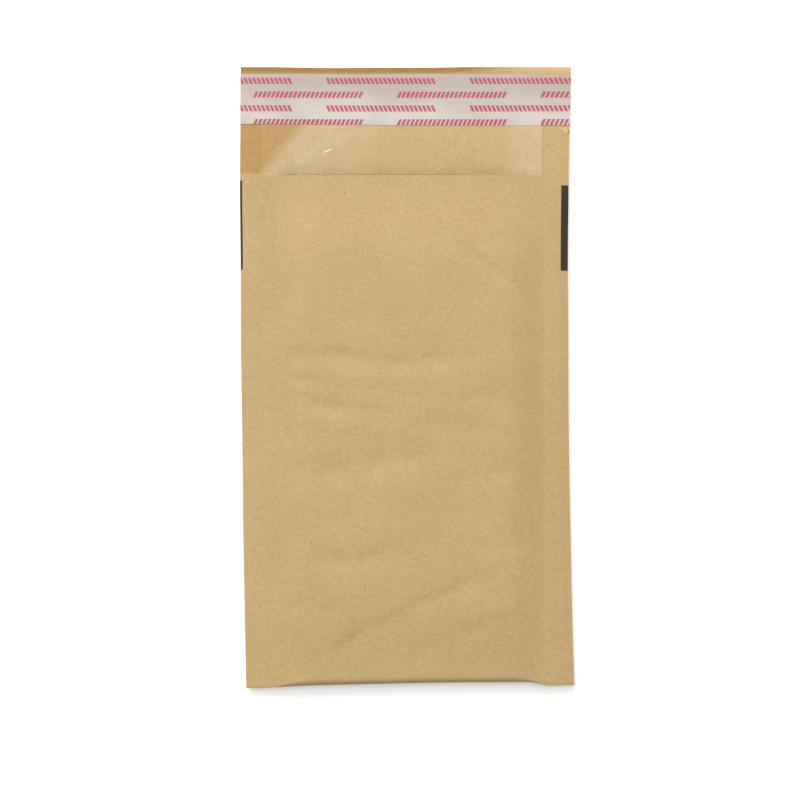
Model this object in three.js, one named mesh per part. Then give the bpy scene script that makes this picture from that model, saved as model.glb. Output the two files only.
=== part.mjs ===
// A small padded mailing envelope, lying flat on its back with the flap open.
//
// Four pieces make it up:
//   kraft_sheet     one sheet of kraft paper, folded once at the bottom: front panel, back panel, flap
//   bubble_lining   one web of air-bubble film, folded with the paper and melted flat into both side seams
//   adhesive_strip  the band of hot-melt glue across the flap
//   release_liner   the peel-off strip that covers the glue
//
// Units are millimetres. +X runs across the envelope, +Y from the bottom fold to the flap, and +Z up
// through its thickness. While the envelope is built, y = 0 is the mouth of the pocket and z = 0 the plane
// of the side seams. The finished group is then moved so that the origin is the bottom centre of its box.

import * as THREE from "three";

// Driving dimensions.
const WIDTH = 120; // between the two cut side edges
const BODY = 187; // from the mouth of the pocket down to the bottom fold
const FLAP = 39.8; // from the mouth up to the end of the flap
const THICKNESS = 9.4; // through the padded middle

// Layers.
const KRAFT = 0.14; // paper
const FILM = 0.12; // lining where its bubbles are melted flat, and its plain margin on the flap
const LAYER_GAP = 0.02; // between two pieces that lie on each other
const GLUE = 0.24;
const LINER = 0.1;

// Pocket and side seams.
const POCKET_LEFT = -47.6; // inner line of the left seam
const POCKET_RIGHT = 50.4; // inner line of the right seam
const POCKET_GAP = 4.3; // clear height inside the pocket
const FOLD_GAP = 2.4; // clear height inside the bottom fold
const FOLD_THICKNESS = 5.2; // outside height of the bottom fold
const PUFF_BAND = 13; // the panels rise to full height over this width, beside each seam
const MOUTH_PUFF_BAND = 20; // the same, at the mouth, where the panels bow gently
const SEAM_ANGLE = 0.65; // how sharply the panels leave the seams: 0 softly, 1 at a clear angle
const MOUTH_RISE = 32; // length over which the mouth thickens to the full padding
const FOLD_RISE = 34; // length over which the padding thins to the bottom fold

// Outline.
const SIDE_LEAN = 2.2; // the cut sides bend towards +X by this much at the bottom
const WAIST_LEFT = 0.08; // the puffed panels draw the cut sides in by this much at mid length
const WAIST_RIGHT = 0.35;
const FLAP_FLARE = 1.15; // the flap's right side bends outwards by this much up to its end
const CORNER_TILT = 0.52; // the fold runs this much lower at the left corner, and higher at the right
const SEAM_DROOP = 1.2; // the cut sides hang this much below the seam plane
const FOLD_LIFT = 1.3; // the puffed fold ends this much short of the flat corners
const FLAP_DROOP = 3.2; // the flap's end hangs this much below the seam plane
const FLAP_SAG = 0.8; // the middle of the flap's end hangs this much below its sides

// What lies on the flap, measured from the mouth, and the lining's margin there, measured across.
const MARGIN_END = 19; // the lining's plain margin ends here, under the liner
const MARGIN_LEFT = -52.5; // its cut edge in the left seam's line
const GLUE_START = 20.5;
const GLUE_END = 35.5;
const LINER_START = 18.1;
const LINER_END = 37.3;

const SEAL_HALF = KRAFT + LAYER_GAP + FILM; // from the seam plane to the paper's outer face
const MIDDLE_HALF = THICKNESS / 2;
const MOUTH_HALF = SEAL_HALF + POCKET_GAP / 2;
const FOLD_HALF = FOLD_THICKNESS / 2;

// Rows and columns of the meshes.
const RAMP_STEPS = 6; // columns over the puffed band beside each seam
const MIDDLE_STEPS = 3; // columns over the level middle
const FOLD_ARC_STEPS = 8;
// Shares of the body length, from the mouth (0) to the start of the fold's round (1).
const BODY_SHARES = [0, 0.022, 0.044, 0.066, 0.09, 0.13, 0.2, 0.5, 0.8, 0.84, 0.88, 0.92, 0.96, 1];
// Rows up the flap, from the mouth to its end.
const FLAP_ROWS = [0, 6, 12, LINER_START, MARGIN_END, GLUE_START, 28, GLUE_END, LINER_END, FLAP];

const { clamp, lerp, smoothstep, inverseLerp } = THREE.MathUtils;

// ---- Outline -------------------------------------------------------------------------------------

function sideEdge(side, y) {
  const share = clamp(-y / BODY, 0, 1);
  const flare = side > 0 ? FLAP_FLARE * clamp(y / FLAP, 0, 1) : 0;
  const waist = side > 0 ? WAIST_RIGHT : WAIST_LEFT;
  return side * (WIDTH / 2 - waist * Math.sin(Math.PI * share)) + SIDE_LEAN * share ** 2 + flare;
}

// A column runs the whole length of the envelope, a share of the way across the left seam, the pocket or
// the right seam.
function columnX(column, y) {
  if (column.zone === "left") return lerp(sideEdge(-1, y), POCKET_LEFT, column.share);
  if (column.zone === "right") return lerp(POCKET_RIGHT, sideEdge(1, y), column.share);
  return lerp(POCKET_LEFT, POCKET_RIGHT, column.share);
}

function makeColumns() {
  const band = MOUTH_PUFF_BAND / (POCKET_RIGHT - POCKET_LEFT);
  const shares = [];
  for (let i = 0; i < RAMP_STEPS; i++) shares.push((band * i) / RAMP_STEPS);
  for (let i = 0; i <= MIDDLE_STEPS; i++) shares.push(lerp(band, 1 - band, i / MIDDLE_STEPS));
  for (let i = 1; i <= RAMP_STEPS; i++) shares.push(1 - band * (1 - i / RAMP_STEPS));
  return [
    { zone: "left", share: 0 },
    { zone: "left", share: inverseLerp(-WIDTH / 2, POCKET_LEFT, MARGIN_LEFT) },
    ...shares.map((share) => ({ zone: "pocket", share })),
    { zone: "right", share: 1 },
  ];
}

// ---- Heights above and below the seam plane --------------------------------------------------------

// 0 in the side seams and 1 over the level middle of the pocket. The panel leaves the seam at an angle.
function puffAcross(x, y) {
  const inset = Math.min(x - POCKET_LEFT, POCKET_RIGHT - x);
  const band = lerp(MOUTH_PUFF_BAND, PUFF_BAND, smoothstep(-y, 0, MOUTH_RISE));
  const rise = Math.sin((Math.PI / 2) * clamp(inset / band, 0, 1));
  return lerp(smoothstep(inset, 0, band), rise, SEAM_ANGLE);
}

// A value along the pocket: at the mouth, over the middle, and at the bottom fold.
function alongPocket(y, atMouth, inMiddle, atFold) {
  if (y > -MOUTH_RISE) return lerp(atMouth, inMiddle, smoothstep(-y, 0, MOUTH_RISE));
  return lerp(atFold, inMiddle, smoothstep(BODY + y, FOLD_HALF, FOLD_RISE));
}

// From the seam plane to the paper's outer face.
function outerHalf(x, y) {
  const level = alongPocket(y, MOUTH_HALF, MIDDLE_HALF, FOLD_HALF);
  return lerp(SEAL_HALF, level, puffAcross(x, y));
}

const innerHalf = (x, y) => outerHalf(x, y) - KRAFT;
const liningHalf = (x, y) => innerHalf(x, y) - LAYER_GAP;

// From the seam plane to the lining's inner face: half of the pocket's clear height.
function pocketHalf(x, y) {
  const level = alongPocket(y, POCKET_GAP / 2, POCKET_GAP / 2, FOLD_GAP / 2);
  return level * puffAcross(x, y);
}

// The flap's lower face: it leaves the back panel at the mouth and droops to its end.
function flapUnderside(x, y) {
  const share = y / FLAP;
  const atEnd = SEAL_HALF + FLAP_SAG * puffAcross(x, 0);
  return -lerp(outerHalf(x, 0), atEnd, share) - FLAP_DROOP * share ** 1.5;
}

// ---- Paths along one column ------------------------------------------------------------------------

// How far the free width of a side seam hangs below the seam plane. At the mouth the flap keeps it level.
function seamDroop(x, y) {
  const fromLeft = (POCKET_LEFT - x) / (WIDTH / 2 + POCKET_LEFT);
  const fromRight = (x - POCKET_RIGHT) / (WIDTH / 2 - POCKET_RIGHT);
  const outward = Math.min(Math.max(fromLeft, fromRight, 0), 1);
  return SEAM_DROOP * outward ** 1.4 * smoothstep(-y, 0, 26);
}

// The lowest y of the bottom fold.
function foldY(x) {
  const fromLeft = Math.sqrt(smoothstep(x - POCKET_LEFT, -6, 46));
  const fromRight = smoothstep(POCKET_RIGHT - x, -3, 5.5);
  return -BODY + FOLD_LIFT * fromLeft * fromRight + (CORNER_TILT * x) / (WIDTH / 2);
}

// Front panel from the mouth, round the fold, and the back panel up to the mouth again, at
// half(x, y) from the seam plane.
function bodyPath(column, half) {
  const foldX = columnX(column, -BODY);
  const foldStart = foldY(foldX) + outerHalf(foldX, -BODY);
  const panelPoint = (share, side) => {
    const y = foldStart * share;
    const x = columnX(column, y);
    return new THREE.Vector3(x, y, side * half(x, y) - seamDroop(x, y));
  };
  const front = BODY_SHARES.map((share) => panelPoint(share, 1));
  const back = BODY_SHARES.map((share) => panelPoint(share, -1)).reverse();
  const radius = half(foldX, -BODY);
  const foldZ = -seamDroop(foldX, -BODY);
  const fold = [];
  for (let i = 1; i < FOLD_ARC_STEPS; i++) {
    const angle = (Math.PI * i) / FOLD_ARC_STEPS;
    fold.push(new THREE.Vector3(foldX, foldStart - radius * Math.sin(angle), foldZ + radius * Math.cos(angle)));
  }
  return [...front, ...fold, ...back];
}

// Along the flap between two distances from the mouth, raised above the flap's lower face.
function flapPath(column, from, to, raise) {
  return FLAP_ROWS.filter((row) => row >= from && row <= to).map((row) => {
    const x = columnX(column, row);
    return new THREE.Vector3(x, row, flapUnderside(x, row) + raise);
  });
}

// ---- Meshes ----------------------------------------------------------------------------------------

// The triangles of one piece. A ring is a closed outline of a piece, along one column.
class Skin {
  positions = [];

  triangle(a, b, c) {
    if (new THREE.Triangle(a, b, c).getArea() > 1e-7) this.positions.push(...a, ...b, ...c);
  }

  // Joins a row of rings with faces. hasFace(i, j) is false where segment j has no face between rings i
  // and i + 1. Each quad is split from its +Y side on one ring to its -Y side on the next, so that pieces
  // that lie on each other have parallel facets.
  join(rings, hasFace = () => true) {
    for (let i = 0; i + 1 < rings.length; i++) {
      for (let j = 0; j < rings[i].length; j++) {
        if (!hasFace(i, j)) continue;
        const next = (j + 1) % rings[i].length;
        const [a, b, c, d] = [rings[i][j], rings[i][next], rings[i + 1][next], rings[i + 1][j]];
        const split = a.y >= b.y ? [a, b, c, a, c, d] : [a, b, d, b, c, d];
        this.triangle(...split.slice(0, 3));
        this.triangle(...split.slice(3));
      }
    }
  }

  // Fills the first and the last ring.
  close(rings) {
    this.fill(rings[0], true);
    this.fill(rings[rings.length - 1], false);
  }

  fill(ring, turned) {
    const outline = ring.filter((point, j) => point.distanceTo(ring[(j + 1) % ring.length]) > 1e-6);
    const flat = outline.map((point) => new THREE.Vector2(point.y, point.z));
    for (const corners of THREE.ShapeUtils.triangulateShape(flat, [])) {
      const [a, b, c] = corners.map((index) => outline[index]);
      if (turned) this.triangle(a, c, b);
      else this.triangle(a, b, c);
    }
  }

  geometry() {
    const geometry = new THREE.BufferGeometry();
    geometry.setAttribute("position", new THREE.Float32BufferAttribute(this.positions, 3));
    geometry.computeVertexNormals();
    return geometry;
  }
}

const columns = makeColumns();
const marginColumns = columns.slice(1, -1);

// The paper: its outer face out to the flap's end, and its inner face back again.
function kraftSheet() {
  const rings = columns.map((column) => [
    ...bodyPath(column, outerHalf),
    ...flapPath(column, 0, FLAP, 0).slice(1),
    ...flapPath(column, 0, FLAP, KRAFT).slice(1).reverse(),
    ...bodyPath(column, innerHalf).reverse(),
  ]);
  const skin = new Skin();
  skin.join(rings);
  skin.close(rings);
  return skin.geometry();
}

// A ring along the flap between two distances from the mouth, as thick as given.
function flapRing(column, from, to, base, thickness) {
  return [...flapPath(column, from, to, base), ...flapPath(column, from, to, base + thickness).reverse()];
}

// The lining: its outer faces, the faces of the pocket, and its margin on the flap. The pocket's faces meet
// at the inner line of each seam. In the seam both layers are melted into one.
function bubbleLining() {
  const rings = columns.map((column) => {
    const pocket = bodyPath(column, pocketHalf).reverse();
    const inside = column.zone === "pocket" ? pocket : pocket.map(() => pocket[0]);
    return [...bodyPath(column, liningHalf), ...inside];
  });
  const lip = rings[0].length / 2 - 1; // the back panel's end face, which the margin takes the place of
  const sealed = (i) => columns[i].zone === "left" || columns[i + 1].zone === "right";
  const underMargin = (i) => marginColumns.includes(columns[i]) && marginColumns.includes(columns[i + 1]);
  const skin = new Skin();
  skin.join(rings, (i, j) => {
    if (j === lip) return !underMargin(i);
    return !sealed(i) || j < lip || j === rings[0].length - 1;
  });
  skin.close(rings);
  const margin = marginColumns.map((column) => flapRing(column, 0, MARGIN_END, KRAFT + LAYER_GAP, FILM));
  skin.join(margin, (i, j) => j < margin[0].length - 1);
  skin.close(margin);
  return skin.geometry();
}

// A strip across the whole flap, between two distances from the mouth.
function flapStrip(from, to, base, thickness) {
  const rings = columns.map((column) => flapRing(column, from, to, base, thickness));
  const skin = new Skin();
  skin.join(rings);
  skin.close(rings);
  return skin.geometry();
}

// ---- Materials -------------------------------------------------------------------------------------

const material = (color, roughness) =>
  new THREE.MeshStandardMaterial({ color, roughness, metalness: 0 });

const kraftPaper = material(0xd3b581, 0.85);
const bubbleFilm = material(0xd9d6cc, 0.25);
const hotMeltGlue = material(0xc9a765, 0.35);
const linerPaper = material(0xe2d8d3, 0.45);

// ---- The envelope ----------------------------------------------------------------------------------

const glueBase = KRAFT + LAYER_GAP;
const linerBase = glueBase + GLUE + LAYER_GAP;

const envelope = new THREE.Group();
envelope.name = "padded_envelope";

function addPiece(name, geometry, surface) {
  const mesh = new THREE.Mesh(geometry, surface);
  mesh.name = name;
  envelope.add(mesh);
}

addPiece("kraft_sheet", kraftSheet(), kraftPaper);
addPiece("bubble_lining", bubbleLining(), bubbleFilm);
addPiece("adhesive_strip", flapStrip(GLUE_START, GLUE_END, glueBase, GLUE), hotMeltGlue);
addPiece("release_liner", flapStrip(LINER_START, LINER_END, linerBase, LINER), linerPaper);

// Origin: the bottom centre of the bounding box.
const box = new THREE.Box3().setFromObject(envelope);
const centre = box.getCenter(new THREE.Vector3());
for (const mesh of envelope.children) mesh.position.set(-centre.x, -centre.y, -box.min.z);

export default envelope;
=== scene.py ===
"""A small padded mailing envelope, lying flat on its back with the flap open.

The paper and its bubble lining are one folded web each: front panel, bottom fold, back panel and flap.
The glue and its release liner lie across the flap.
"""

import math

import bpy
import numpy as np
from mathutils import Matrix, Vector


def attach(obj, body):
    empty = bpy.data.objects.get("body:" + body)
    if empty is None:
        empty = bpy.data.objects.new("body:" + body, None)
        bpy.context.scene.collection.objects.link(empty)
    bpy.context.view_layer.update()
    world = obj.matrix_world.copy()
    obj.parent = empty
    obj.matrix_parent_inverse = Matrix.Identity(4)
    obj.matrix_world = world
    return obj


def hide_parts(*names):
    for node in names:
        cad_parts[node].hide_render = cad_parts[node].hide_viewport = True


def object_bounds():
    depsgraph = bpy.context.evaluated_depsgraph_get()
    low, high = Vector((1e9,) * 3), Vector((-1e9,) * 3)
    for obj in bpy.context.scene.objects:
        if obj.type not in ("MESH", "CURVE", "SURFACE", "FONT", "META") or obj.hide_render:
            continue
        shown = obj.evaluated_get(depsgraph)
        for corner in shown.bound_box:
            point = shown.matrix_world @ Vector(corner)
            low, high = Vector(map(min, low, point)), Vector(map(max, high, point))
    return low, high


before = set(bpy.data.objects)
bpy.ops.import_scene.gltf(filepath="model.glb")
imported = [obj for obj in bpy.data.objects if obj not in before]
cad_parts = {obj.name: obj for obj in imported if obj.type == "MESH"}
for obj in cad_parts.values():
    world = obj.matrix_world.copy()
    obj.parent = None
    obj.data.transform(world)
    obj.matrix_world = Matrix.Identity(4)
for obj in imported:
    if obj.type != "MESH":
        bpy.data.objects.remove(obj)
CAD_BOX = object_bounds()

# ---- Sizes, in millimetres -------------------------------------------------------------------------
# The envelope is worked out with y = 0 at the pocket's mouth, z = 0 in the plane of the side seams and
# x = 0 midway between the cut sides at the mouth. to_row() then moves a point into the row's frame.

WIDTH = 120.0
BODY = 187.0
FLAP = 39.8
MIDDLE_HALF = 4.7

# Thicknesses, and the gap kept between two layers.
KRAFT = 0.14
FILM = 0.12
GLUE = 0.24
LINER = 0.1
LAYER_GAP = 0.02

# The pocket between the side seams. A "half" is measured from the seam plane to the paper's outer face.
POCKET_LEFT = -47.6
POCKET_RIGHT = 50.4
POCKET_GAP = 4.3
FOLD_GAP = 2.4
FOLD_HALF = 2.6
PUFF_BAND = 13.0
MOUTH_PUFF_BAND = 20.0
SEAM_ANGLE = 0.65
MOUTH_RISE = 32.0
FOLD_RISE = 34.0

# How the outline leans, narrows and flares, and how the seams, the fold and the flap hang or rise.
SIDE_LEAN = 2.2
WAIST_LEFT, WAIST_RIGHT = 0.08, 0.35
FLAP_FLARE = 1.15
CORNER_TILT = 0.52
SEAM_DROOP = 1.2
FOLD_LIFT = 1.3
FLAP_DROOP = 3.2
FLAP_SAG = 0.8

# The unevenness of real paper: heights of its random waves, and how far the panels are set back so that
# the crests stay within the thickness.
PANEL_WAVE = 0.05
FRONT_RUCKS = 0.13
FRONT_SET_BACK = 0.04
BACK_SET_BACK = 0.06
SEAM_WAVE = 0.32
FOLD_WAVE = 0.12
FLAP_CURL = 0.16
FLAP_END_WAVE = 0.14
CUT_EDGE_WAVE = 0.07

# A small crumple at the flap's right edge: its height, and its place and size across and up the flap.
RUFFLE_HEIGHT = 0.9
RUFFLE_PLACE = (58.6, 16.4)
RUFFLE_SIZE = (2.0, 0.9)
RUFFLE_SLOPE = 0.5

# What lies on the flap: the lining's margin, its left edge across and its end up the flap, then the
# two ends of the glue and of the liner up the flap.
MARGIN_LEFT = -52.5
MARGIN_END = 19.0
GLUE_START, GLUE_END = 20.5, 35.5
LINER_START, LINER_END = 18.1, 37.3

# The glue and the liner were laid on a little unevenly: how much higher than that their edges lie at the
# left and at the right.
GLUE_HIGH_EDGE = (0.0, -0.3)
LINER_LOW_EDGE = (0.85, 0.3)
LINER_HIGH_EDGE = (0.15, -0.2)
LINER_WAVE = 0.05

SEAL_HALF = KRAFT + LAYER_GAP + FILM
MOUTH_HALF = SEAL_HALF + POCKET_GAP / 2

CORNER = np.array(CAD_BOX[0]) * 1000.0
FAR_CORNER = np.array(CAD_BOX[1]) * 1000.0
TO_ROW = np.array([CORNER[0] + WIDTH / 2, FAR_CORNER[1] - FLAP, CORNER[2] + MIDDLE_HALF])


def to_row(points):
    """From the envelope's millimetres to metres in the row's frame."""
    return (np.asarray(points) + TO_ROW) / 1000.0


# ---- Small maths -----------------------------------------------------------------------------------


def clamp01(t):
    return np.clip(t, 0.0, 1.0)


def smooth(value, low, high):
    t = clamp01((value - low) / (high - low))
    return t * t * (3.0 - 2.0 * t)


def lerp(a, b, t):
    return a + (b - a) * t


def waves(x, y, seed, shortest, longest, count=16):
    """A gentle random surface of about -1 to 1: a sum of plane waves between two lengths in mm."""
    rng = np.random.default_rng(seed)
    total = np.zeros(np.broadcast(x, y).shape)
    weight = 0.0
    for _ in range(count):
        length = shortest * (longest / shortest) ** rng.random()
        angle = rng.random() * math.tau
        phase = rng.random() * math.tau
        share = (length / longest) ** 0.7
        turn = (x * math.cos(angle) + y * math.sin(angle)) * math.tau / length
        total = total + share * np.sin(turn + phase)
        weight += share * share
    return total / math.sqrt(weight) * 0.8


# ---- Outline and heights ---------------------------------------------------------------------------


def side_edge(side, y):
    """The x of the cut side at the right (side 1) or the left (side -1)."""
    share = clamp01(-y / BODY)
    flare = FLAP_FLARE * clamp01(y / FLAP) if side > 0 else 0.0
    waist = WAIST_RIGHT if side > 0 else WAIST_LEFT
    return side * (WIDTH / 2 - waist * np.sin(np.pi * share)) + SIDE_LEAN * share**2 + flare


def column_x(s, y):
    """The x of the column that crosses the mouth's line at s."""
    left = lerp(side_edge(-1, y), POCKET_LEFT, (s + WIDTH / 2) / (POCKET_LEFT + WIDTH / 2))
    right = lerp(POCKET_RIGHT, side_edge(1, y), (s - POCKET_RIGHT) / (WIDTH / 2 - POCKET_RIGHT))
    return np.where(s < POCKET_LEFT, left, np.where(s > POCKET_RIGHT, right, s + 0.0 * y))


def puff_across(x, y):
    """0 in the side seams, 1 over the level middle. The panel leaves each seam at an angle."""
    inset = np.minimum(x - POCKET_LEFT, POCKET_RIGHT - x)
    band = lerp(MOUTH_PUFF_BAND, PUFF_BAND, smooth(-y, 0, MOUTH_RISE))
    t = clamp01(inset / band)
    return lerp(t * t * (3.0 - 2.0 * t), np.sin(t * np.pi / 2), SEAM_ANGLE)


def along_pocket(y, at_mouth, in_middle, at_fold):
    """A size that changes smoothly down the pocket, from the mouth to the fold."""
    near_mouth = lerp(at_mouth, in_middle, smooth(-y, 0, MOUTH_RISE))
    near_fold = lerp(at_fold, in_middle, smooth(BODY + y, FOLD_HALF, FOLD_RISE))
    return np.where(y > -MOUTH_RISE, near_mouth, near_fold)


# Soft creases: two ends, depth, and width on the upper and the lower side. A negative depth is a crest.
# Handling has left most of them on the front.
FRONT_CREASES = [
    ((-48, -66.2), (-14, -66.0), 0.46, 2.2, 4.2),
    ((-26, -67.6), (28, -67.0), 0.46, 2.6, 4.6),
    ((-40, -73.5), (30, -74.0), -0.12, 3.0, 4.0),
    ((-49, -71.0), (-24, -78.5), 0.34, 1.8, 3.0),
    ((-47, -77.2), (-29, -78.8), -0.11, 1.4, 2.2),
    ((-44, -80.0), (4, -90.0), 0.40, 2.6, 4.0),
    ((-42, -86.0), (-2, -95.0), -0.15, 2.4, 3.6),
    ((-2, -93.0), (34, -89.0), 0.32, 3.4, 4.6),
    ((-44, -109.0), (18, -102.5), 0.70, 5.4, 5.4),
    ((-44, -118.0), (-18, -107.0), -0.16, 1.8, 3.0),
    ((-17, -115.0), (12, -103.0), -0.04, 1.8, 3.2),
    ((12, -112.0), (44, -106.0), 0.22, 3.0, 6.0),
    ((-32, -141.0), (-3, -138.0), 0.40, 2.6, 4.6),
    ((-44, -122.0), (-14, -128.0), 0.20, 3.0, 5.0),
    ((-42, -181.0), (38, -141.5), 0.34, 1.7, 4.0),
    ((2, -175.0), (46, -159.0), 0.20, 1.9, 3.6),
    ((13, -17.0), (46, -47.0), 0.30, 1.6, 3.2),
    ((14, -85.0), (42, -78.0), 0.20, 2.5, 5.0),
    ((-44, -152.0), (-20, -163.0), 0.26, 3.0, 5.0),
    ((39, -122.0), (48, -150.0), 0.60, 4.0, 4.4),
]
FILM_RIDGES = [
    ((-50, 0.0), (-8, 18.5), 0.16, 1.6, 2.4),
    ((-34, 8.0), (-24, 11.5), 0.12, 0.8, 0.8),
]
BACK_CREASES = [
    ((-40, -52.0), (10, -60.0), 0.22, 2.5, 5.0),
    ((-5, -118.0), (44, -101.0), 0.26, 2.0, 5.0),
    ((-42, -150.0), (-4, -158.0), 0.22, 2.5, 5.0),
]


def creases(x, y, strokes):
    """The relief of a list of soft creases. Each is slightly bent and uneven, and fades out at its ends."""
    total = np.zeros(np.broadcast(x, y).shape)
    for (x0, y0), (x1, y1), depth, upper, lower in strokes:
        length = math.hypot(x1 - x0, y1 - y0)
        ux, uy = (x1 - x0) / length, (y1 - y0) / length
        along = ((x - x0) * ux + (y - y0) * uy) / length
        bend = 0.9 * np.sin(along * 5.0 + x0) + 0.4 * np.sin(along * 0.3 * length + y0)
        across = (y - y0) * ux - (x - x0) * uy + bend
        width = np.where(across > 0, upper, lower)
        window = smooth(along, -0.05, 0.3) * smooth(-along, -1.05, -0.7)
        broken = 1.0 + 0.35 * np.sin(along * 0.42 * length + 2.0 * x0)
        total = total - depth * window * broken * np.exp(-((across / width) ** 2))
    return total


def outer_half(x, y, side):
    """From the seam plane to the paper's outer face, over the front (side 1) or the back (side -1)."""
    puff = puff_across(x, y)
    level = along_pocket(y, MOUTH_HALF, MIDDLE_HALF, FOLD_HALF)
    half = lerp(SEAL_HALF, level, puff)
    calm = smooth(-y, 2.0, 16.0)
    if side > 0:
        relief = creases(x, y, FRONT_CREASES) + PANEL_WAVE * waves(x, y, 3, 9.0, 34.0) - FRONT_SET_BACK
        rucked = smooth(-y, 30.0, 62.0) * smooth(y, -186.0, -150.0)
        relief = relief + FRONT_RUCKS * rucked * waves(0.42 * x, y, 11, 9.0, 26.0, 20)
    else:
        relief = creases(x, y, BACK_CREASES) + PANEL_WAVE * waves(x, y, 8, 12.0, 40.0) - BACK_SET_BACK
        relief = np.minimum(relief, 0.0)
    return half + puff * calm * relief


def seam_wave(x, y):
    """The free width of a side seam hangs down, and waves a little."""
    inside = np.minimum(x - POCKET_LEFT, POCKET_RIGHT - x)
    left = (POCKET_LEFT - x) / (WIDTH / 2 + POCKET_LEFT)
    right = (x - POCKET_RIGHT) / (WIDTH / 2 - POCKET_RIGHT)
    droop = SEAM_DROOP * clamp01(np.maximum(left, right)) ** 1.4 * smooth(-y, 0.0, 26.0)
    return SEAM_WAVE * waves(0.3 * x, y, 21, 26.0, 90.0, 8) * smooth(-inside, 0.0, 9.0) - droop


def seam_hang(x, y):
    """The seams' hang and wave, running out up the flap."""
    return seam_wave(x, np.minimum(y, 0.0)) * smooth(-y, -30.0, 10.0)


def flap_underside(x, y):
    """The height of the flap's outer face, which lies underneath. It droops and curls a little."""
    share = clamp01(y / FLAP)
    at_mouth = outer_half(x, np.zeros_like(x), -1)
    at_end = SEAL_HALF + FLAP_SAG * puff_across(x, np.zeros_like(x))
    base = -lerp(at_mouth, at_end, share) - FLAP_DROOP * share**1.5
    curl = FLAP_CURL * waves(x, 0.4 * y, 5, 18.0, 70.0, 10) * smooth(y, 2.0, 30.0)
    dx = x - RUFFLE_PLACE[0]
    dy = y - RUFFLE_PLACE[1] + RUFFLE_SLOPE * dx
    ruffle = RUFFLE_HEIGHT * np.exp(-((dx / RUFFLE_SIZE[0]) ** 2) - (dy / RUFFLE_SIZE[1]) ** 2)
    return base + curl + ruffle


def fold_y(x):
    """Where the bottom fold ends: higher over the pocket than at its two flat corners."""
    lift = FOLD_LIFT * np.sqrt(smooth(x - POCKET_LEFT, -6.0, 46.0)) * smooth(POCKET_RIGHT - x, -3.0, 5.5)
    return -BODY + lift + CORNER_TILT * x / (WIDTH / 2) + FOLD_WAVE * waves(x, 0.0, 14, 14.0, 50.0, 8)


# ---- The web: front panel, fold, back panel, flap --------------------------------------------------


def web_rows(front_steps, fold_steps, back_steps, flap_steps):
    """Rows of the web as (part, share of that part)."""
    rows = [("front", i / front_steps) for i in range(front_steps + 1)]
    rows += [("fold", i / fold_steps) for i in range(1, fold_steps)]
    rows += [("back", 1 - i / back_steps) for i in range(back_steps + 1)]
    rows += [("flap", i / flap_steps) for i in range(1, flap_steps + 1)]
    return rows


def web_surface(s, rows):
    """The paper's outer face as a grid of points: rows along the web, columns across it."""
    fold_x = column_x(s, np.full_like(s, -BODY))
    radius = outer_half(fold_x, np.full_like(s, -BODY), 1)
    fold_start = fold_y(fold_x) + radius
    points = np.zeros((len(rows), len(s), 3))
    for i, (part, share) in enumerate(rows):
        if part == "fold":
            angle = np.pi * share
            x = fold_x
            y = fold_start - radius * math.sin(angle)
            z = radius * math.cos(angle)
        elif part == "flap":
            y = np.full_like(s, FLAP * share) + flap_end_wave(s) * share
            x = column_x(s, y)
            z = flap_underside(x, y)
        else:
            side = 1 if part == "front" else -1
            y = fold_start * share
            x = column_x(s, y)
            z = side * outer_half(x, y, side)
        points[i] = np.stack([x + edge_wave(s, y), y, z + seam_hang(x, y)], axis=1)
    return points


def flap_end_wave(s):
    """The flap's end is not quite straight: it dips left of the middle and rises to the right."""
    dip = 0.25 * np.exp(-(((s + 27.0) / 16.0) ** 2))
    rise = 0.27 * np.exp(-(((s - 28.0) / 14.0) ** 2)) + 0.16 * smooth(s, 25.0, 50.0)
    return FLAP_END_WAVE * waves(s, 0.0, 31, 30.0, 120.0, 6) + rise - dip


def edge_wave(s, y):
    """The knife leaves the cut sides very slightly uneven."""
    near = smooth(np.abs(s), 50.0, WIDTH / 2) * np.sign(s)
    return CUT_EDGE_WAVE * near * waves(0.0, y, 41, 18.0, 70.0, 8)


def grid_normals(points):
    """Outward unit normals of a grid of points."""
    down = np.gradient(points, axis=0)
    across = np.gradient(points, axis=1)
    normal = np.cross(down, across)
    return normal / np.maximum(np.linalg.norm(normal, axis=2, keepdims=True), 1e-12)


def columns(step, edges=()):
    """Positions across the web, about step apart, with a column on each seam line and given edge."""
    stops = sorted({-WIDTH / 2, POCKET_LEFT, POCKET_RIGHT, WIDTH / 2, *edges})
    s = [stops[0]]
    for a, b in zip(stops, stops[1:]):
        count = max(1, round((b - a) / step))
        s += [a + (b - a) * i / count for i in range(1, count + 1)]
    return np.array(s)


def web_length(rows):
    """How far along the web each row lies, in mm, measured from the mouth down the front."""
    lengths = []
    arc = math.pi * FOLD_HALF
    for part, share in rows:
        if part == "front":
            lengths.append(BODY * share)
        elif part == "fold":
            lengths.append(BODY + arc * share)
        elif part == "back":
            lengths.append(BODY + arc + BODY * (1 - share))
        else:
            lengths.append(2 * BODY + arc + FLAP * share)
    return np.array(lengths)


# ---- Meshes ----------------------------------------------------------------------------------------


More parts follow.
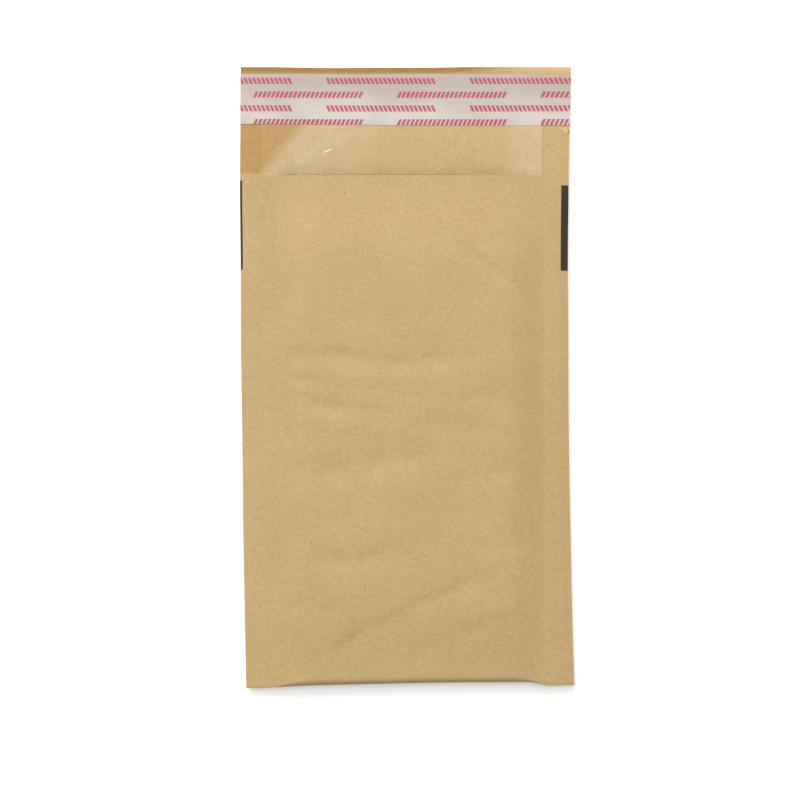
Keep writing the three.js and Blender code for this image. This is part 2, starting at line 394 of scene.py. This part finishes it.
def solid_from_grids(name, outer, inner, uv, mask=None, sharp=55.0):
    """A closed mesh between two grids of points, over the cells where mask is true."""
    rows, cols = outer.shape[:2]
    if mask is None:
        mask = np.ones((rows - 1, cols - 1), dtype=bool)
    vertices = np.concatenate([outer.reshape(-1, 3), inner.reshape(-1, 3)])
    shift = rows * cols
    index = np.arange(shift).reshape(rows, cols)
    i, j = np.nonzero(mask)
    a, b, c, d = index[i, j], index[i, j + 1], index[i + 1, j + 1], index[i + 1, j]
    faces = [np.stack([a, d, c, b], 1), np.stack([a, b, c, d], 1) + shift]
    padded = np.pad(mask, 1)
    for di, dj, p, q in ((-1, 0, a, b), (0, 1, b, c), (1, 0, c, d), (0, -1, d, a)):
        edge = ~padded[i + 1 + di, j + 1 + dj]
        p, q = p[edge], q[edge]
        faces.append(np.stack([p, q, q + shift, p + shift], 1))
    faces = np.concatenate(faces)
    used = np.unique(faces)
    renumber = np.zeros(2 * shift, dtype=np.int64)
    renumber[used] = np.arange(len(used))
    mesh = bpy.data.meshes.new(name)
    mesh.from_pydata(to_row(vertices[used]).tolist(), [], renumber[faces].tolist())
    flat_uv = np.concatenate([uv.reshape(-1, 2), uv.reshape(-1, 2)])[used]
    layer = mesh.uv_layers.new(name="web")
    corner_vertex = np.zeros(len(mesh.loops), dtype=np.int32)
    mesh.loops.foreach_get("vertex_index", corner_vertex)
    layer.data.foreach_set("uv", (flat_uv[corner_vertex] / 1000.0).ravel())
    mesh.shade_smooth()
    mesh.set_sharp_from_angle(angle=math.radians(sharp))
    mesh.update()
    piece = bpy.data.objects.new(name, mesh)
    bpy.context.scene.collection.objects.link(piece)
    return piece


def offset_grid(points, normals, distance):
    """The grid moved inward by a distance, which is one number or one for each point."""
    return points - normals * np.asarray(distance)[..., None]


def full_uv(s, rows):
    """Texture coordinates of a whole web: across it and along it, in mm."""
    return np.stack(np.meshgrid(s, web_length(rows)), axis=2)


# How fine the meshes are: the step across each piece, and a web's rows on its front, fold, back and flap.
WEB_STEP = 1.08
GLUE_STEP = 1.6
LINER_STEP = 0.9
KRAFT_ROWS = (168, 14, 88, 42)
LINING_ROWS = (168, 12, 150, 42)

# The bubbles, and how far the film's flat margin stands off the paper.
BUBBLE_PITCH = 10.6
BUBBLE_RADIUS = 4.9
FILM_LIFT = 0.08
FILM_CRINKLE = 0.04


def make_kraft():
    s = columns(WEB_STEP)
    rows = web_rows(*KRAFT_ROWS)
    outer = web_surface(s, rows)
    inner = offset_grid(outer, grid_normals(outer), KRAFT)
    return solid_from_grids("kraft_paper", outer, inner, full_uv(s, rows))


def bubble_dome(s, length):
    """Height share of the air bubbles, set in staggered rows, at a place on the flat web."""
    row_pitch = BUBBLE_PITCH * math.sqrt(3) / 2
    best = np.full(np.broadcast(s, length).shape, 1e9)
    base_row = np.floor(length / row_pitch)
    for extra in (0, 1):
        row = base_row + extra
        stagger = np.where(np.mod(row, 2) == 0, 0.0, BUBBLE_PITCH / 2)
        column = np.round((s - stagger) / BUBBLE_PITCH)
        dx = s - stagger - column * BUBBLE_PITCH
        dy = length - row * row_pitch
        best = np.minimum(best, dx * dx + dy * dy)
    r = clamp01(np.sqrt(best) / BUBBLE_RADIUS)
    return (1 - r**4) ** 0.6


def film_on_flap(x, y):
    """How far the lining's flat margin stands off the paper: it is crinkled, and held down at both ends."""
    crinkle = FILM_LIFT + FILM_CRINKLE * waves(x, 1.5 * y, 52, 7.0, 22.0) - creases(x, y, FILM_RIDGES)
    return crinkle * smooth(y, 0.5, 3.0) * smooth(-y, -17.5, -14.0)


def lining_cells(s, part, shares):
    """The cells of the web that the lining covers: all of the body, and a margin on the flap."""
    on_flap = part == "flap"
    kept = ~on_flap | (FLAP * shares <= MARGIN_END + 0.3)
    across = (s[:-1] >= MARGIN_LEFT - 0.01) & (s[1:] <= POCKET_RIGHT + 0.01)
    return (kept[:-1] & kept[1:])[:, None] & (~on_flap[1:, None] | across[None, :])


def make_lining():
    s = columns(WEB_STEP, (MARGIN_LEFT,))
    rows = web_rows(*LINING_ROWS)
    part = np.array([row[0] for row in rows])
    shares = np.array([row[1] for row in rows])
    on_flap = (part == "flap")[:, None]
    paper = web_surface(s, rows)
    normals = grid_normals(paper)
    x, y = paper[..., 0], paper[..., 1]

    puff = puff_across(x, np.minimum(y, 0.0))
    level = along_pocket(y, MOUTH_HALF, MIDDLE_HALF, FOLD_HALF)
    half = np.where(on_flap, 0.0, lerp(SEAL_HALF, level, puff))
    pocket = along_pocket(y, POCKET_GAP, POCKET_GAP, FOLD_GAP) / 2 * puff
    room = np.maximum(half - pocket - KRAFT - LAYER_GAP - FILM, 0.6 * smooth(-y, 0.5, 5.0))
    dome = bubble_dome(*np.meshgrid(s, web_length(rows))) * room * smooth(puff, 0.12, 0.45)

    depth = KRAFT + LAYER_GAP + film_on_flap(x, y) * on_flap
    outer = offset_grid(paper, normals, depth)
    inner = offset_grid(paper, normals, depth + FILM + dome)
    return solid_from_grids("bubble_film", outer, inner, full_uv(s, rows), lining_cells(s, part, shares))


def flap_band(name, low, high, base, thickness, step, relief=None):
    """A strip over the whole width of the flap, between two lines given as functions of s."""
    s = columns(step)
    count = max(4, round((np.mean(high(s) - low(s))) / step))
    shares = np.linspace(0.0, 1.0, count + 1)
    lower = np.zeros((len(shares), len(s), 3))
    for i, share in enumerate(shares):
        y = lerp(low(s), high(s), share)
        x = column_x(s, y)
        z = flap_underside(x, y) + seam_hang(x, y) + base
        if relief is not None:
            z = z + relief(x, y, share)
        lower[i] = np.stack([x, y, z], axis=1)
    upper = lower + np.array([0.0, 0.0, thickness])
    uv = np.stack([np.broadcast_to(s, lower.shape[:2]), lower[..., 1]], axis=2)
    return solid_from_grids(name, lower, upper, uv)


def make_glue():
    def low(s):
        return np.full_like(s, GLUE_START)

    def high(s):
        return GLUE_END + lerp(*GLUE_HIGH_EDGE, smooth(s, -60.0, 60.0))

    return flap_band("glue_strip", low, high, KRAFT + LAYER_GAP, GLUE, GLUE_STEP)


def make_liner():
    """The liner lies on the glue with its two edges pressed down."""

    def low(s):
        raised = lerp(*LINER_LOW_EDGE, smooth(s, -62.0, 40.0))
        return LINER_START + raised + LINER_WAVE * waves(s, 0.0, 62, 20.0, 60.0, 5)

    def high(s):
        raised = lerp(*LINER_HIGH_EDGE, smooth(s, 42.0, 60.0))
        return LINER_END + raised + 0.06 * waves(s, 0.0, 63, 20.0, 60.0, 5)

    def lay(x, y, share):
        pressed = 0.12 * smooth(abs(share - 0.5), 0.38, 0.5)
        return 0.03 + LINER_WAVE * waves(x, y, 61, 12.0, 60.0) - pressed

    return flap_band("liner_strip", low, high, KRAFT + GLUE + 2 * LAYER_GAP, LINER, LINER_STEP, lay)


# ---- Shader helpers --------------------------------------------------------------------------------


class Shader:
    """A material under construction, with short calls for the nodes that it uses."""

    def __init__(self, name):
        self.material = bpy.data.materials.new(name)
        self.material.use_nodes = True
        self.tree = self.material.node_tree
        self.tree.nodes.clear()
        self.output = self.tree.nodes.new("ShaderNodeOutputMaterial")

    def node(self, kind, inputs=None, **settings):
        node = self.tree.nodes.new(kind)
        for key, value in settings.items():
            setattr(node, key, value)
        for key, value in (inputs or {}).items():
            self.feed(node.inputs[key], value)
        return node

    def feed(self, socket, value):
        """Link a socket to another node's output, or set it to a constant."""
        if isinstance(value, bpy.types.NodeSocket):
            self.tree.links.new(value, socket)
        else:
            socket.default_value = value

    def maths(self, operation, *values):
        return self.node("ShaderNodeMath", dict(enumerate(values)), operation=operation).outputs[0]

    def plus(self, a, b):
        return self.maths("ADD", a, b)

    def minus(self, a, b):
        return self.maths("SUBTRACT", a, b)

    def times(self, a, *others):
        for b in others:
            a = self.maths("MULTIPLY", a, b)
        return a

    def absolute(self, a):
        return self.maths("ABSOLUTE", a)

    def mix(self, share, a, b, blend="MIX"):
        node = self.node("ShaderNodeMix", data_type="RGBA", blend_type=blend, clamp_factor=True)
        self.feed(node.inputs["Factor"], share)
        self.feed(node.inputs[6], a)
        self.feed(node.inputs[7], b)
        return node.outputs[2]

    def ramp(self, value, low, high, to_low=0.0, to_high=1.0):
        """A smooth step from one value to another."""
        node = self.node("ShaderNodeMapRange", interpolation_type="SMOOTHSTEP")
        for key, number in zip((0, 1, 2, 3, 4), (value, low, high, to_low, to_high)):
            self.feed(node.inputs[key], number)
        return node.outputs[0]

    def noise(self, place, scale, detail, rough):
        inputs = {"Vector": place, "Scale": scale, "Detail": detail, "Roughness": rough}
        return self.node("ShaderNodeTexNoise", inputs).outputs["Fac"]

    def stretched(self, place, turn, scale):
        inputs = {"Vector": place, "Rotation": (0, 0, turn), "Scale": scale}
        return self.node("ShaderNodeMapping", inputs).outputs[0]

    def place(self):
        return self.node("ShaderNodeTexCoord").outputs["Object"]

    def web(self):
        """Millimetres across and along the web."""
        uv = self.node("ShaderNodeUVMap", uv_map="web").outputs[0]
        parts = self.node("ShaderNodeSeparateXYZ", {0: uv})
        return self.times(parts.outputs[0], 1000.0), self.times(parts.outputs[1], 1000.0)

    def band(self, value, low, high, soft):
        """1 between two values, with soft ends."""
        rise = self.ramp(value, low - soft, low + soft)
        fall = self.ramp(value, high - soft, high + soft, 1.0, 0.0)
        return self.times(rise, fall)

    def bump(self, height, strength, distance):
        inputs = {"Strength": strength, "Distance": distance, "Height": height}
        return self.node("ShaderNodeBump", inputs).outputs[0]

    def principled(self, **inputs):
        """A principled surface. An underscore in a name stands for a space."""
        inputs = {key.replace("_", " "): value for key, value in inputs.items()}
        return self.node("ShaderNodeBsdfPrincipled", inputs).outputs[0]

    def finish(self, surface):
        self.tree.links.new(surface, self.output.inputs["Surface"])
        return self.material


def linear(r, g, b):
    """A colour given as 0 to 255 on a screen."""

    def one(v):
        v = v / 255.0
        return v / 12.92 if v <= 0.04045 else ((v + 0.055) / 1.055) ** 2.4

    return (one(r), one(g), one(b), 1.0)


# ---- Materials -------------------------------------------------------------------------------------
# The fields of colour are laid out in millimetres across the web and along it, from the mouth down the
# front, round the fold, up the back and over the flap.

END_OF_BODY = 2 * BODY + math.pi * FOLD_HALF

KRAFT_BASE = linear(195, 166, 116)
KRAFT_DARK = linear(173, 143, 94)
KRAFT_LIGHT = linear(211, 184, 137)
KRAFT_SPECK = linear(124, 94, 60)
# The seams' own darker tone together with painted shade in their creases.
KRAFT_SEAM_TONE_AND_SHADE = linear(140, 110, 70)
# Painted shade on the bottom fold.
KRAFT_FOLD_SHADE = linear(138, 110, 72)
KRAFT_RIGHT_RIM = linear(187, 152, 100)
KRAFT_LEFT_RIM = linear(202, 162, 124)
KRAFT_PALE_END = linear(205, 171, 118)
# Painted shade in a small fold.
KRAFT_WRINKLE_SHADE = linear(170, 122, 62)
# Painted highlight and painted shade on the ruffle.
RUFFLE_HIGHLIGHT = linear(216, 178, 126)
RUFFLE_SHADE = linear(166, 118, 66)
DARK_PATCH_TINT = (0.86, 0.75, 0.60, 1.0)
END_DARK_TINT = (0.68, 0.53, 0.33, 1.0)
MARK_INK = linear(48, 42, 34)

# The darker patch's slanting edge: across the web minus this share of the way up the flap.
DARK_PATCH_SLANT = 0.645

# The two sensing marks on the cut sides: where each begins across the web, and its ends along it.
RIGHT_MARK, RIGHT_MARK_ENDS = 57.2, (3.7, 35.0)
LEFT_MARK, LEFT_MARK_ENDS = -59.1, (1.9, 34.4)


def kraft_colour(m, place):
    """Mottled, fibrous brown paper. Gives its colour, its slow and fine grain, and a fibre pattern."""
    cloud = m.noise(place, 55.0, 3.0, 0.55)
    blotch = m.noise(place, 420.0, 3.0, 0.6)
    grain = m.noise(place, 950.0, 4.0, 0.7)
    fine = m.noise(place, 2600.0, 2.0, 0.6)
    fibre_a = m.noise(m.stretched(place, 0.35, (420.0, 3200.0, 800.0)), 1.0, 3.0, 0.6)
    fibre_b = m.noise(m.stretched(place, -0.6, (500.0, 3600.0, 800.0)), 1.0, 3.0, 0.6)
    speck = m.noise(place, 620.0, 1.0, 0.4)
    colour = KRAFT_BASE
    for pattern, low, high, most, tone in (
        (cloud, 0.30, 0.70, 0.26, KRAFT_DARK),
        (blotch, 0.35, 0.70, 0.26, KRAFT_DARK),
        (grain, 0.35, 0.72, 0.52, KRAFT_LIGHT),
        (fine, 0.40, 0.66, 0.40, KRAFT_DARK),
        (fibre_a, 0.56, 0.74, 0.55, KRAFT_LIGHT),
        (fibre_b, 0.56, 0.74, 0.60, KRAFT_DARK),
        (speck, 0.785, 0.815, 0.50, KRAFT_SPECK),
    ):
        colour = m.mix(m.ramp(pattern, low, high, 0.0, most), colour, tone)
    return colour, cloud, grain, fine, fibre_a


def flap_dark_patch(m, across, along, cloud, colour):
    """The left end of the flap is darker and more orange, up to a slanting edge."""
    slant = m.minus(across, m.times(m.minus(along, END_OF_BODY), DARK_PATCH_SLANT))
    ragged = m.plus(slant, m.times(cloud, 18.0))
    on_flap = m.band(along, END_OF_BODY + 0.9, END_OF_BODY + 24.0, 0.8)
    return m.mix(m.times(m.ramp(ragged, -38.0, -45.0), on_flap), colour, DARK_PATCH_TINT, "MULTIPLY")


def fold_shade_and_seam_lines(m, across, along, colour):
    """Painted shade on the bottom fold's underside, a thin darker line on each seam, partly the seal's own
    tone and partly painted shade, a line of painted shade in the right seam, and the tone of the two cut
    rims.
    """
    # Painted shade where the bottom fold turns under.
    fold_shade = m.times(m.band(along, BODY + 1.6, BODY + 8.0, 1.0), 0.42)
    colour = m.mix(fold_shade, colour, KRAFT_FOLD_SHADE)
    # Each seam's thin darker line: partly the seal's own tone, partly painted shade in its crease.
    for line, strength in ((POCKET_LEFT, 0.06), (POCKET_RIGHT, 0.07)):
        pressed = m.times(m.band(across, line - 0.35, line + 0.35, 0.7), strength)
        colour = m.mix(pressed, colour, KRAFT_SEAM_TONE_AND_SHADE)
    # Painted shade of a shallow groove in the right seam.
    groove_shade = m.times(m.band(across, 54.3, 54.6, 0.3), m.band(along, 114.0, 184.0, 8.0), 0.15)
    colour = m.mix(groove_shade, colour, KRAFT_SEAM_TONE_AND_SHADE)
    colour = m.mix(m.ramp(across, 56.6, 57.6, 0.0, 0.30), colour, KRAFT_RIGHT_RIM)
    return m.mix(m.times(m.band(across, -58.3, -57.3, 0.2), 0.25), colour, KRAFT_LEFT_RIM)


def flap_end(m, across, along, colour):
    """The flap's end is darker and more orange at the left, and paler at the right."""
    end_strip = m.times(
        m.ramp(along, END_OF_BODY + 30.0, END_OF_BODY + 31.0),
        m.ramp(along, END_OF_BODY + LINER_END - 0.6, END_OF_BODY + FLAP - 0.3, 0.35, 1.3),
    )
    fade = m.ramp(across, 10.0, 54.0, 1.0, 0.0)
    colour = m.mix(m.times(end_strip, fade), colour, END_DARK_TINT, "MULTIPLY")
    return m.mix(m.times(end_strip, m.ramp(across, 20.0, 54.0, 0.0, 0.8)), colour, KRAFT_PALE_END)


def flap_marks(m, place, across, along, colour):
    """Painted shade in a small fold at the flap's lower left corner, and painted highlight and painted
    shade on the ruffle at its right.
    """
    # Painted shade of a small fold.
    low, high = END_OF_BODY + 0.3, END_OF_BODY + 2.6
    wrinkle_shade = m.times(m.band(along, low, high, 0.6), m.band(across, -54.6, -53.4, 0.7), 0.4)
    colour = m.mix(wrinkle_shade, colour, KRAFT_WRINKLE_SHADE)
    # Painted highlight and painted shade on the crumple at the flap's right edge.
    low, high = END_OF_BODY + 15.5, END_OF_BODY + 17.2
    ruffle = m.times(m.band(along, low, high, 0.4), m.ramp(across, 56.6, 57.8))
    lit_part = m.ramp(m.noise(place, 900.0, 2.0, 0.5), 0.42, 0.5)
    colour = m.mix(m.times(ruffle, lit_part), colour, RUFFLE_HIGHLIGHT)
    return m.mix(m.times(ruffle, m.minus(1.0, lit_part)), colour, RUFFLE_SHADE)


def sensing_marks(m, across, along, grain, colour):
    """Two black marks on the cut sides near the mouth, slightly worn."""
    right = m.times(m.ramp(across, RIGHT_MARK, RIGHT_MARK + 0.2), m.band(along, *RIGHT_MARK_ENDS, 0.12))
    left = m.times(m.ramp(across, LEFT_MARK, LEFT_MARK - 0.2), m.band(along, *LEFT_MARK_ENDS, 0.12))
    worn = m.ramp(grain, 0.70, 0.82, 1.0, 0.55)
    return m.mix(m.times(m.maths("MAXIMUM", right, left), worn, 0.97), colour, MARK_INK)


def kraft_material():
    m = Shader("kraft_paper")
    place = m.place()
    across, along = m.web()
    colour, cloud, grain, fine, fibre = kraft_colour(m, place)
    colour = fold_shade_and_seam_lines(m, across, along, colour)
    colour = flap_dark_patch(m, across, along, cloud, colour)
    colour = flap_end(m, across, along, colour)
    colour = flap_marks(m, place, across, along, colour)
    colour = sensing_marks(m, across, along, grain, colour)
    height = m.plus(m.plus(m.times(grain, 0.6), m.times(fine, 0.25)), m.times(fibre, 0.35))
    surface = m.principled(
        Base_Color=colour,
        Roughness=m.ramp(grain, 0.3, 0.7, 0.72, 0.9),
        Normal=m.bump(height, 0.32, 0.00012),
        Specular_IOR_Level=0.22,
    )
    return m.finish(surface)


FILM_CLEAR = linear(226, 212, 182)
# Painted light on the margin: a whitish sheen, shade along the mouth's edge, and a short highlight.
FILM_PAINTED_SHEEN = linear(216, 200, 184)
FILM_MOUTH_SHADE = linear(128, 98, 60)
FILM_PAINTED_GLINT = linear(238, 232, 218)
SHEEN_SLANT = 0.7

# A short painted highlight on the margin: its middle, its direction, and half its length and width.
GLINT_PLACE = (-28.0, 9.2)
GLINT_DIRECTION = (0.94, 0.34)
GLINT_HALF = (2.2, 0.40)


def painted_film_sheen(m, place, across, up_flap, colour):
    """A painted whitish sheen on the margin: beside the darker patch, and at the right end."""
    slant = m.minus(across, m.times(up_flap, SHEEN_SLANT))
    left = m.times(m.ramp(slant, -55.0, -47.0, 0.0, 0.62), m.ramp(slant, -12.0, -34.0))
    right = m.ramp(across, 33.0, 46.0, 0.0, 0.7)
    patchy = m.ramp(m.noise(place, 170.0, 4.0, 0.6), 0.3, 0.65, 0.3, 1.0)
    return m.mix(m.times(m.maths("MAXIMUM", left, right), patchy, 0.36), colour, FILM_PAINTED_SHEEN)


def mouth_shade_and_glint(m, place, across, up_flap, colour):
    """A broken line of painted shade where the margin turns into the mouth, and a short painted highlight.
    """
    # Painted shade along the mouth's edge, broken up by noise.
    line = m.times(m.band(up_flap, -0.3, 0.65, 0.25), m.band(across, -44.0, 35.5, 2.5))
    broken = m.ramp(m.noise(place, 160.0, 2.0, 0.5), 0.36, 0.46, 0.25, 1.0)
    colour = m.mix(m.times(line, broken, 0.36), colour, FILM_MOUTH_SHADE)
    # A short painted highlight.
    dx = m.minus(across, GLINT_PLACE[0])
    dy = m.minus(up_flap, GLINT_PLACE[1])
    ux, uy = GLINT_DIRECTION
    lengthwise = m.plus(m.times(dx, ux), m.times(dy, uy))
    sideways = m.minus(m.times(dy, ux), m.times(dx, uy))
    painted_glint = m.times(
        m.ramp(m.absolute(lengthwise), GLINT_HALF[0], 0.6),
        m.ramp(m.absolute(sideways), GLINT_HALF[1], 0.10),
        0.85,
    )
    return m.mix(painted_glint, colour, FILM_PAINTED_GLINT)


def film_material():
    """Clear film. On the flap it lies flat on the paper and takes the paper's colour, under a gloss, with
    painted sheen, painted shade along the mouth and a painted highlight.
    """
    m = Shader("bubble_film")
    place = m.place()
    across, along = m.web()
    paper, cloud, grain, _, _ = kraft_colour(m, place)
    paper = flap_dark_patch(m, across, along, cloud, paper)
    up_flap = m.minus(along, END_OF_BODY)
    paper = painted_film_sheen(m, place, across, up_flap, paper)
    paper = mouth_shade_and_glint(m, place, across, up_flap, paper)

    on_flap = m.ramp(up_flap, -0.6, -0.3)
    wrinkle = m.noise(m.stretched(place, 0.5, (140.0, 420.0, 200.0)), 1.0, 3.0, 0.6)
    height = m.plus(wrinkle, m.times(grain, 0.25))
    body = m.principled(
        Base_Color=m.mix(on_flap, FILM_CLEAR, paper),
        Roughness=m.ramp(grain, 0.3, 0.7, 0.26, 0.40),
        Normal=m.bump(height, 0.25, 0.0003),
        Specular_IOR_Level=0.13,
    )
    clear = m.node("ShaderNodeBsdfTransparent", {"Color": (1.0, 1.0, 1.0, 1.0)})
    facing = m.node("ShaderNodeLayerWeight", {"Blend": 0.35}).outputs["Facing"]
    share = m.maths("MAXIMUM", m.ramp(facing, 0.0, 1.0, 0.08, 0.5), on_flap)
    both = m.node("ShaderNodeMixShader", {0: share, 1: clear.outputs[0], 2: body})
    return m.finish(both.outputs[0])


GLUE_PALE = linear(214, 178, 112)
GLUE_DEEP = linear(188, 146, 82)


def glue_material():
    m = Shader("hot_melt_glue")
    streak = m.noise(m.stretched(m.place(), 0.0, (60.0, 900.0, 200.0)), 1.0, 3.0, 0.6)
    surface = m.principled(
        Base_Color=m.mix(m.ramp(streak, 0.3, 0.7), GLUE_PALE, GLUE_DEEP),
        Roughness=m.ramp(streak, 0.3, 0.7, 0.18, 0.34),
        Normal=m.bump(streak, 0.5, 0.0004),
        Subsurface_Weight=0.3,
        Subsurface_Radius=(0.002, 0.0012, 0.0006),
        Subsurface_Scale=0.5,
    )
    return m.finish(surface)


LINER_PALE = linear(200, 192, 185)
LINER_GREY = linear(188, 176, 167)
LINER_UPPER = linear(162, 147, 130)
LINER_INK = linear(170, 42, 72)

# The print: dashes of slanted strokes in rows. The first row's middle is given up the flap, and every
# other row is shifted and leans the other way.
FIRST_ROW = 34.8
ROW_PITCH = 5.07
ROW_HEIGHT = 2.3
ROW_SHIFT = 26.6
DASH_START = 28.6
DASH_PITCH = 52.6
DASH_RUN = 40.0
STROKE_PITCH = 1.6
STROKE_HALF = 0.54
STROKE_LEAN = 0.45


def hatch_print(m, across, up_flap):
    """1 on the strokes of the print, 0 beside them."""
    climb = m.minus(FIRST_ROW + ROW_PITCH / 2, up_flap)
    row = m.maths("FLOOR", m.maths("DIVIDE", climb, ROW_PITCH))
    from_middle = m.minus(m.minus(climb, m.times(row, ROW_PITCH)), ROW_PITCH / 2)
    odd = m.maths("MODULO", m.absolute(row), 2.0)
    in_row = m.ramp(m.absolute(from_middle), ROW_HEIGHT / 2 - 0.08, ROW_HEIGHT / 2 + 0.08, 1.0, 0.0)
    lean = m.times(from_middle, m.minus(m.times(odd, 2 * STROKE_LEAN), STROKE_LEAN))
    start = m.plus(m.plus(m.plus(across, m.times(odd, ROW_SHIFT)), lean), DASH_START + 2 * DASH_PITCH)
    in_dash = m.maths("MODULO", start, DASH_PITCH)
    dash = m.ramp(in_dash, DASH_RUN - 0.1, DASH_RUN + 0.1, 1.0, 0.0)
    off_stroke = m.absolute(m.minus(m.maths("MODULO", in_dash, STROKE_PITCH), STROKE_PITCH / 2))
    stroke = m.ramp(off_stroke, STROKE_HALF - 0.07, STROKE_HALF + 0.07, 1.0, 0.0)
    return m.times(in_row, dash, stroke)


def liner_material():
    """Coated paper, greyer towards its upper edge, with the hatch print."""
    m = Shader("liner_paper")
    place = m.place()
    across, up_flap = m.web()
    haze = m.noise(place, 45.0, 3.0, 0.55)
    grain = m.noise(place, 1400.0, 3.0, 0.6)
    paper = m.mix(m.ramp(haze, 0.3, 0.7), LINER_PALE, LINER_GREY)
    paper = m.mix(m.ramp(up_flap, 19.0, 36.0, 0.0, 0.75), paper, LINER_UPPER)
    ink = m.times(hatch_print(m, across, up_flap), m.ramp(grain, 0.3, 0.6, 0.84, 0.98))
    surface = m.principled(
        Base_Color=m.mix(ink, paper, LINER_INK),
        Roughness=m.ramp(haze, 0.3, 0.7, 0.34, 0.46),
        Normal=m.bump(grain, 0.15, 0.0001),
        Specular_IOR_Level=0.5,
    )
    return m.finish(surface)


def floor_material():
    m = Shader("floor")
    tint = m.noise(m.place(), 6.0, 2.0, 0.5)
    surface = m.principled(
        Base_Color=m.mix(m.ramp(tint, 0.3, 0.7), (0.955, 0.955, 0.955, 1.0), (0.975, 0.975, 0.975, 1.0)),
        Roughness=0.9,
        Specular_IOR_Level=0.1,
        Emission_Color=(1.0, 1.0, 1.0, 1.0),
        Emission_Strength=0.26,
    )
    return m.finish(surface)


# ---- Build -----------------------------------------------------------------------------------------

PIECES = [
    (make_kraft, "kraft_sheet", "kraft_paper", kraft_material),
    (make_lining, "bubble_lining", "bubble_film", film_material),
    (make_glue, "adhesive_strip", "hot_melt_glue", glue_material),
    (make_liner, "release_liner", "liner_paper", liner_material),
]

for make, node, slot, look in PIECES:
    piece = make()
    piece.data.materials.append(look())
    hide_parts(node)
    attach(piece, "root")

# ---- Stage, light and camera -----------------------------------------------------------------------

bpy.ops.mesh.primitive_plane_add(size=3.0, location=(0, 0, 0))
floor = bpy.context.active_object
floor.name = "floor"
floor.data.materials.append(floor_material())


def area_light(name, place, size, power):
    """A rectangular lamp aimed at the origin."""
    light = bpy.data.lights.new(name, "AREA")
    light.shape = "RECTANGLE"
    light.size, light.size_y = size
    light.energy = power
    lamp = bpy.data.objects.new(name, light)
    lamp.location = place
    lamp.rotation_euler = (-Vector(place)).to_track_quat("-Z", "Y").to_euler()
    bpy.context.scene.collection.objects.link(lamp)


area_light("key", (-0.42, 1.45, 1.32), (1.5, 1.5), 36.5)
area_light("overhead", (0.0, 0.35, 1.6), (1.2, 0.5), 7.0)

world = bpy.data.worlds.new("studio")
bpy.context.scene.world = world
world.use_nodes = True
background = world.node_tree.nodes["Background"]
background.inputs["Color"].default_value = (1.0, 1.0, 1.0, 1.0)
background.inputs["Strength"].default_value = 0.40

CAMERA_HEIGHT = 1.3
FRAME_WIDTH = 0.2925
SENSOR = 36.0

camera_data = bpy.data.cameras.new("camera")
camera_data.sensor_width = SENSOR
camera_data.lens = SENSOR * (CAMERA_HEIGHT - MIDDLE_HALF / 1000) / FRAME_WIDTH
camera_data.clip_start = 0.01
camera = bpy.data.objects.new("camera", camera_data)
camera.location = (-0.00268, -0.00827, CAMERA_HEIGHT)
bpy.context.scene.collection.objects.link(camera)
bpy.context.scene.camera = camera
bpy.context.scene.view_settings.view_transform = "Standard"
